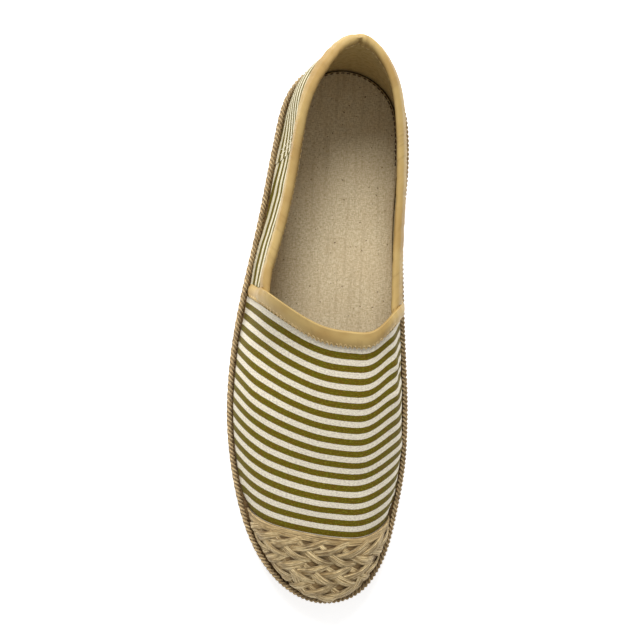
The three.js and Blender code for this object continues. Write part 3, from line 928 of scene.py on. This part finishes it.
profile = folded(COLLAR_TAPE, COLLAR_TAPE - 0.5)
collar_rings = heel_round(lambda side: collar_path(side, profile, 110, -0.8))


def ring_cloth(rings):
    run = measure(rings, 0).mean(1)
    closed = np.concatenate([rings, rings[:, :1]], 1)
    girth = measure(closed, 1).mean(0)
    return paired(run[:, None], girth[None, :])


def ribbon(rings):
    """Folded ribbon with closed ends. Half of each ring's points lie on its outer row."""
    mesh = Mesh()
    cloth = ring_cloth(rings)
    first = mesh.grid(rings, cloth, ring=True)
    half = rings.shape[1] // 2
    j = np.arange(half - 1)
    for row in (0, len(rings) - 1):
        start = first + row * rings.shape[1]
        faces = start + np.stack([j, j + 1, 2 * half - 2 - j, 2 * half - 1 - j], -1)
        mesh.quads(faces, np.broadcast_to(cloth[row, 0], (half - 1, 4, 2)))
    return mesh


def stitch_row(mesh, path, lift, pitch, length, radius, slot=0):
    """Row of raised stitches along a path. lift is the way out of the cloth."""
    run = measure(path, 0)
    starts = np.arange(pitch / 2, run[-1] - length, pitch)
    for k, s0 in enumerate(starts):
        wobble = 0.12 * math.sin(k * 2.3)
        at = s0 + wobble + length * np.array([0.0, 0.15, 0.5, 0.85, 1.0])
        centres = along_path(at, run, path)
        out = unit(along_path(at, run, lift))
        wide = np.cross(out, unit(np.gradient(centres, axis=0)))
        rise = radius * np.array([-0.9, 0.15, 0.55, 0.15, -0.9])[:, None]
        girth = radius * np.array([0.55, 0.95, 1.0, 0.95, 0.55])[:, None]
        mesh.tube(centres + out * rise, wide * girth, out * girth * 0.85, 6, slot)


def collar_line(below, depth):
    spot = np.array([[below, depth]])
    return heel_round(lambda side: collar_path(side, spot, 300, 1.5)[:, 0])


collar = ribbon(collar_rings)
outer_line = COLLAR_TAPE - 1.1, GAP + TAPE_THICK, 0.6
inner_line = COLLAR_TAPE - 1.5, -WALL - GAP - TAPE_THICK, -0.6
for below, depth_on, push in (outer_line, inner_line):
    path = collar_line(below, depth_on)
    stitch_row(collar, path, collar_line(below, depth_on + push) - path, *STITCH["collar"], 1)
dress(collar.build("collar_tape", [TAN_TAPE, TAN_THREAD]), "binding_tape", "collar_binding")


def throat_spot(side, up, ahead, depth):
    def fall(turn):
        p = on_upper(turn, side, up, depth)
        return p[..., 1] - throat_back(p[..., 0]) + ahead

    return on_upper(root(fall, turn_of(0.3), turn_of(0.7)), side, up, depth)


def throat_foot(side):
    """Lowest up of the throat tape, just over the rope."""

    def over(up):
        p = throat_spot(side, up, 0.0, 0.0)
        return feather(0.5 - p[..., 1] / LENGTH) + ROPE + 3 * GAP - p[..., 2]

    return float(root(over, 0.0, 0.5))


def over_ridge(make):
    """Joins what the function makes for the two sides, across the ridge."""
    return np.concatenate([make(-1.0), make(1.0)[-2::-1]])


def throat_ups(side, first, count):
    foot = throat_foot(side)
    return foot + (1 - foot) * np.linspace(first, 1, count)


def throat_rings(side):
    ups = throat_ups(side, 0, 64)
    edge_line = throat_spot(side, ups, 0.0, 0.0)
    over = edge_line[:, 2] - collar_height(edge_line[:, 1])
    closed = ease(over, -1.5, 1.2)
    crossing = np.exp(-(((over + 3.0) / 4.0) ** 2))
    legs = TAPE * TAPE_PLAN, (TAPE - 2.5) * TAPE_PLAN
    rows = np.stack([folded(*legs, c, 1.4, 0.6) for c in closed])
    run = measure(edge_line, 0)[:, None]
    outside = rows[..., 1] > -WALL / 2
    wrinkle = puckers(run, 5.0 + side) * np.where(outside, 1.0, -closed[:, None])
    hump = 0.55 * crossing[:, None] * outside
    return throat_spot(side, ups[:, None], rows[..., 0], rows[..., 1] + wrinkle + hump)


throat = ribbon(over_ridge(throat_rings))

# One thread in a zigzag sews its front edge down, with eight points to a stitch.
EDGE_POINTS = 160
edge_at = TAPE * TAPE_PLAN
edge_ups = over_ridge(lambda side: throat_ups(side, 0.01, EDGE_POINTS))
edge_side = np.where(np.arange(len(edge_ups)) < EDGE_POINTS, -1.0, 1.0)
run = measure(throat_spot(edge_side, edge_ups, edge_at, GAP), 0)
swaps = 2 * int(run[-1] / ZIGZAG)
share = np.linspace(0.0, 1.0, 4 * swaps + 1)
wave = np.cos(math.pi * share * swaps)
run = run / run[-1]
side = np.where(share <= run[EDGE_POINTS - 1], -1.0, 1.0)
up = np.interp(share, run, edge_ups)
ahead = edge_at - 0.2 + 0.75 * wave
high_on = np.where(wave < 0, GAP + TAPE_THICK + 0.15, GAP + 0.1 + 0.5 * (1 - wave))
path = throat_spot(side, up, ahead, high_on)
beside, out = across_path(path, throat_spot(side, up, ahead, high_on + 0.6) - path)
throat.tube(path, beside * 0.25, out * 0.22, 6, 1)
dress(throat.build("throat_tape", [TAN_TAPE, TAN_THREAD]), "binding_tape", "throat_binding")


# Heel piece's stitched front edges.
seams = Mesh()
for side in (-1.0, 1.0):
    w = np.linspace(0.06, 0.9, 80)
    for back_by in (0.030, 0.055):
        turn = seam_turn(w) - back_by
        up = w * collar_up(turn, side)
        on = creased(turn, side, up, HEEL_PROUD)
        off = creased(turn, side, up, 0.9)
        stitch_row(seams, on, off - on, *STITCH["heel"])
seam_thread = thread("seam_thread", (226, 216, 190), (190, 176, 140))
dress(seams.build("seam_stitches", [seam_thread]), "striped_canvas")


# Toe cap: a jute base and, on it, smooth strands along its back edge and three plaits.
def cap_turn(ahead):
    return vamp_turn(1 + ahead / CAP_RUN, vamp_side, vamp_up)


cap = Mesh()
cap_ahead = np.linspace(0.05, CAP_RUN - 0.15, 40)[:, None]
turns = to_tip(cap_turn(cap_ahead))
cap_ahead = np.concatenate([cap_ahead, cap_ahead[-1:] + 6.0 * TIP])
face, back = walls(turns, vamp_side, vamp_up, CAP_BASE, GAP, on_upper)
cloth = paired(from_ridge(face), cap_ahead)
# The base takes the darker fill jute, as painted shade in the gaps between strands.
sandwich(cap, face, back, cloth, slots=(1, 1, 1))

# The cap's surface as a map from (ahead, along) to a point, at two depths.
UPPER_LAYER = 3.0
row_ahead = np.linspace(0.0, CAP_RUN - 0.3, 60)
row_along = np.linspace(-62.0, 62.0, 249)
turns = cap_turn(row_ahead[:, None])
run = from_ridge(on_upper(turns, vamp_side, vamp_up))
reach_low, reach_high = run[:, 0], run[:, -1]
flat = 0.8 + 0.2 * ease(vamp_up, 0, 0.3)  # the plaits flatten toward the rope
layers = []
for depth_on in (0.0, UPPER_LAYER):
    points = on_upper(turns, vamp_side, vamp_up, depth_on * flat)
    layers.append(np.stack([along_path(row_along, *row) for row in zip(run, points)]))


def on_cap(ahead, along, depth):
    """Point at a place on the cap and at a height over the last, and the way out."""
    i = np.clip(ahead / (row_ahead[1] - row_ahead[0]), 0, len(row_ahead) - 1.001)
    j = np.clip((along - row_along[0]) / (row_along[1] - row_along[0]), 0, len(row_along) - 1.001)
    i0, j0 = i.astype(int), j.astype(int)
    fi, fj = (i - i0)[..., None], (j - j0)[..., None]
    ends = []
    for layer in layers:
        near = layer[i0, j0] * (1 - fj) + layer[i0, j0 + 1] * fj
        far = layer[i0 + 1, j0] * (1 - fj) + layer[i0 + 1, j0 + 1] * fj
        ends.append(near * (1 - fi) + far * fi)
    thick = ends[1] - ends[0]
    return ends[0] + thick * (depth[..., None] / UPPER_LAYER), unit(thick)


def lay_strand(ahead, along, depth, size, lobes, sides, seed, slot):
    """Strand over the cap, as far as the cap reaches. lobes is (count, how deep)."""
    low = np.interp(ahead, row_ahead, reach_low) + 0.3
    high = np.interp(ahead, row_ahead, reach_high) - 0.3
    keep = (along > low) & (along < high)
    if keep.sum() < 6:
        return
    path, out = on_cap(ahead[keep], along[keep], depth[keep])
    beside, out = across_path(path, out)
    spin = seed + along[keep] * 0.16
    wide = size[0] * (1 + 0.14 * np.sin(along[keep] / 3.1 + seed * 2.3))[:, None]
    cap.tube(path, beside * wide, out * size[1], sides, slot, start=seed * 40, lobes=(*lobes, spin))


steps = np.linspace(-61.0, 61.0, 204)
for k in range(4):
    wave = 0.1 * np.sin(steps / 6.0 + k * 2.1)
    height = np.full_like(steps, 1.15 + 0.1 * k)
    ahead = 0.1 + k * 0.76 + wave
    lay_strand(ahead, steps, height, (0.56, 0.4), (3, 0.1), sides=10, seed=k + 1.0, slot=2)
for m in range(PLAITS):
    centre = BAND + PLAIT / 2 - 0.3 + m * PLAIT
    for k in range(STRANDS):
        phase = 2 * math.pi * (steps / PLAIT_CYCLE + k / STRANDS) + m * 1.9
        swing = (PLAIT / 2 + 0.2) * np.arcsin(0.96 * np.sin(phase)) / math.asin(0.96)
        drift = 0.3 * np.sin(steps / 7.0 + m * 3 + k * 1.3)
        ahead = np.clip(centre - swing + drift, 0.8, CAP_RUN - 0.4)
        sunk = 0.9 * np.abs(np.sin(phase)) ** 5
        height = 1.65 + 0.66 * np.sin(2 * phase) - sunk
        size = STRAND["wide"], STRAND["high"]
        lay_strand(ahead, steps, height, size, LOBES, sides=22, seed=5.0 + 3 * m + k, slot=0)

# Two crossed strands close the front of the toe, down at the rope.
swept = np.linspace(-SWEEP, SWEEP, 90)
for way in (-1.0, 1.0):
    ends = ease(np.abs(swept) / SWEEP, 0.75, 1.0)
    depth = 1.5 + 0.35 * way * np.sin(swept * 5.0) - 1.3 * ends
    place = math.pi - np.abs(swept), np.sign(swept + 1e-6), 0.36 + way * 0.24 * swept / SWEEP
    path = on_upper(*place, depth)
    beside, out = across_path(path, unit(on_upper(*place, depth + 1.0) - path))
    lobes = *LOBES, swept * 3.0 + way
    cap.tube(path, beside * 1.9, out * 0.65, 22, start=300.0 * way, lobes=lobes)
dress(cap.build("plaited_toe_cap", [PLAITED, SHADED_FILL, BANDED]), "jute_plait", "toe_cap")


# Rope, courses and soles run round the outline.
def loop_path(inset, height, spacing):
    """Closed path round the shoe at an inset and a height, at even spacing, with the
    way out of the shoe at each point."""
    turn = np.linspace(0, math.pi, 700)
    x0, y0 = outline(turn, inset, -1.0)
    x1, y1 = outline(turn[::-1], inset, 1.0)
    share = share_of(np.concatenate([turn, turn[::-1][1:]]))
    path = np.stack([np.append(x0, x1[1:]), np.append(y0, y1[1:]), height(share)], -1)
    run = measure(path, 0)
    count = int(run[-1] / spacing)
    at = np.linspace(0, run[-1], count, endpoint=False)
    even = along_path(at, run, path)
    share = np.interp(at, run, share)
    along = unit(np.roll(even, -1, 0) - np.roll(even, 1, 0))
    out = unit(np.cross(along, [0.0, 0.0, 1.0]))
    return even, along, out, at, run[-1], share


def twist(mesh, inset, height, wide, tall, lay, plies, spacing, turn_way=1.0, slot=0):
    """Cord of twisted plies. wide is its half size out of the shoe. height and tall are the
    functions of share for its middle and its half size upward."""
    path, along, out, at, whole, share = loop_path(inset, height, spacing)
    upward = np.cross(along, out)
    upward = upward * np.sign(upward[:, 2:3])
    count = max(1, round(whole / lay))
    across_cord, up_cord = out * wide, upward * tall(share)[:, None]
    for ply in range(plies):
        angle = turn_way * 2 * math.pi * (at / whole * count) + 2 * math.pi * ply / plies
        c, s = np.cos(angle)[:, None], np.sin(angle)[:, None]
        away = across_cord * c + up_cord * s
        beside = up_cord * c - across_cord * s
        ply_path = path + away * (1 - PLY)
        mesh.tube(ply_path, away * PLY, beside * PLY, 8, slot, loop=True, start=ply * 37.0)


rope = Mesh()
twist(
    rope,
    ROPE_INSET + ROPE / 2,
    lambda share: feather(share) + GAP + ROPE / 2,
    ROPE / 2,
    lambda share: np.full_like(share, ROPE / 2),
    ROPE_LAY,
    plies=2,
    spacing=0.38,
)
dress(rope.build("twisted_welt_rope", [TWISTED]), "jute_rope", "rope_welt")


def plan(inset, height, rows, columns):
    """Grid over the sole's plan out to an inset, a number or a function of turn and side."""
    turn = np.linspace(0.03, math.pi - 0.03, rows)[:, None]
    c = np.linspace(-1, 1, columns)[None, :]
    side = np.where(c < 0, -1.0, 1.0)
    if callable(inset):
        inset = inset(turn, side)
    x, y = outline(turn + 0 * c, inset, side + 0 * turn)
    reach = np.abs(c) ** 0.9
    x = AXIS_X + (x - AXIS_X) * reach
    y = np.cos(turn) * (HALF - inset) * (1 - reach) + y * reach
    share = np.clip(0.5 - y / LENGTH, 0, 1)
    return np.stack([x, y, height(share, x, y, np.abs(c))], -1)


def flat_height(base, lift):
    return lambda share, x, y, c: base(share) + lift


CORE_INSET = 1.5
core = Mesh()
grid = plan(CORE_INSET, flat_height(feather, 0.0), *CORE_GRID)
bottom = plan(CORE_INSET, flat_height(underside, OUTSOLE + GAP), *CORE_GRID)
sandwich(core, grid, bottom, grid[..., :2])
for course in range(COURSES):

    def course_height(share, k=course):
        low = underside(share) + OUTSOLE + GAP
        return low + (feather(share) - low) * (k + 0.5) / COURSES

    def course_tall(share):
        return (feather(share) - underside(share) - OUTSOLE - GAP) / COURSES / 2 * 1.02

    place = COURSE_INSET, course_height, COURSE_WIDE, course_tall
    way = 1.0 if course % 2 else -1.0
    twist(core, *place, COURSE_LAY, plies=3, spacing=0.95, turn_way=way, slot=1)
dress(core.build("jute_sole", [CORE, COURSE]), "jute_platform", "midsole")


# Outsole with zigzag ribs underneath.
def tread(share, x, y, c):
    zigzag = 3.0 * np.abs(((x / 14.0) % 1.0) - 0.5) * 2
    wave = np.cos(2 * math.pi * (y + zigzag) / 9.0)
    groove = ease(wave, 0.35, 0.8) * ease(0.93 - c, 0.0, 0.05)
    return underside(share) + 0.8 * groove


sole = Mesh()
grid = plan(OUTSOLE_INSET, flat_height(underside, OUTSOLE), *SOLE_GRID)
low = plan(OUTSOLE_INSET + 1, tread, *SOLE_GRID)
edges = (0.0, 3.0), (0.0, 1.0), (0.3, 0.3)  # inset and height of the rings between
sides = [plan(OUTSOLE_INSET + more, flat_height(underside, up), *SOLE_GRID) for more, up in edges]
sandwich(sole, grid, low, grid[..., :2], between=sides)
dress(sole.build("rubber_outsole", [CRUMB], sharp=35), "outsole_rubber", "outsole")


# Insole: a covered board with a soft edge, sewn down round the heel.
def insole_inset(turn, side):
    """Keeps clear of the lining, also where the wall leans in over the edge."""
    lean = by_side("lean", turn, side) * BALL
    straight = by_side("up", turn, side) * section["rise"](turn) * INSTEP
    slope = np.maximum(0, lean) / straight
    return section["tuck"](turn) + WALL + INSOLE_GAP + slope * (GAP + INSOLE)


def insole_grid(more, lift):
    def height(share, x, y, c):
        dish = 0.5 * (1 - ease(c, 0.3, 0.95)) * ease(1 - share, 0.0, 0.1) * ease(share, 0.0, 0.1)
        pillow = 0.35 * ease(c, 0.9, 1.0)
        return feather(share) + GAP + lift - (dish + pillow) * (lift > 1)

    return plan(lambda turn, side: insole_inset(turn, side) + more, height, *INSOLE_GRID)


insole = Mesh()
grid = insole_grid(0.5, INSOLE)
ring = insole_grid(0.0, INSOLE - 0.8)
low = insole_grid(0.0, 0.0)
sandwich(insole, grid, low, grid[..., :2], between=[ring])


def insole_line(side):
    turn = np.linspace(0, turn_of(0.2), 160)
    x, y = outline(turn, insole_inset(turn, side) + 1.0, side)
    return np.stack([x, y, feather(0.5 - y / LENGTH) + GAP + INSOLE - 0.12], -1)


path = heel_round(insole_line)
stitch_row(insole, path, np.tile([0.0, 0.0, 1.0], (len(path), 1)), *STITCH["insole"], slot=1)
dress(insole.build("linen_insole", [LINEN, BROWN_THREAD]), "insole_linen", "insole")
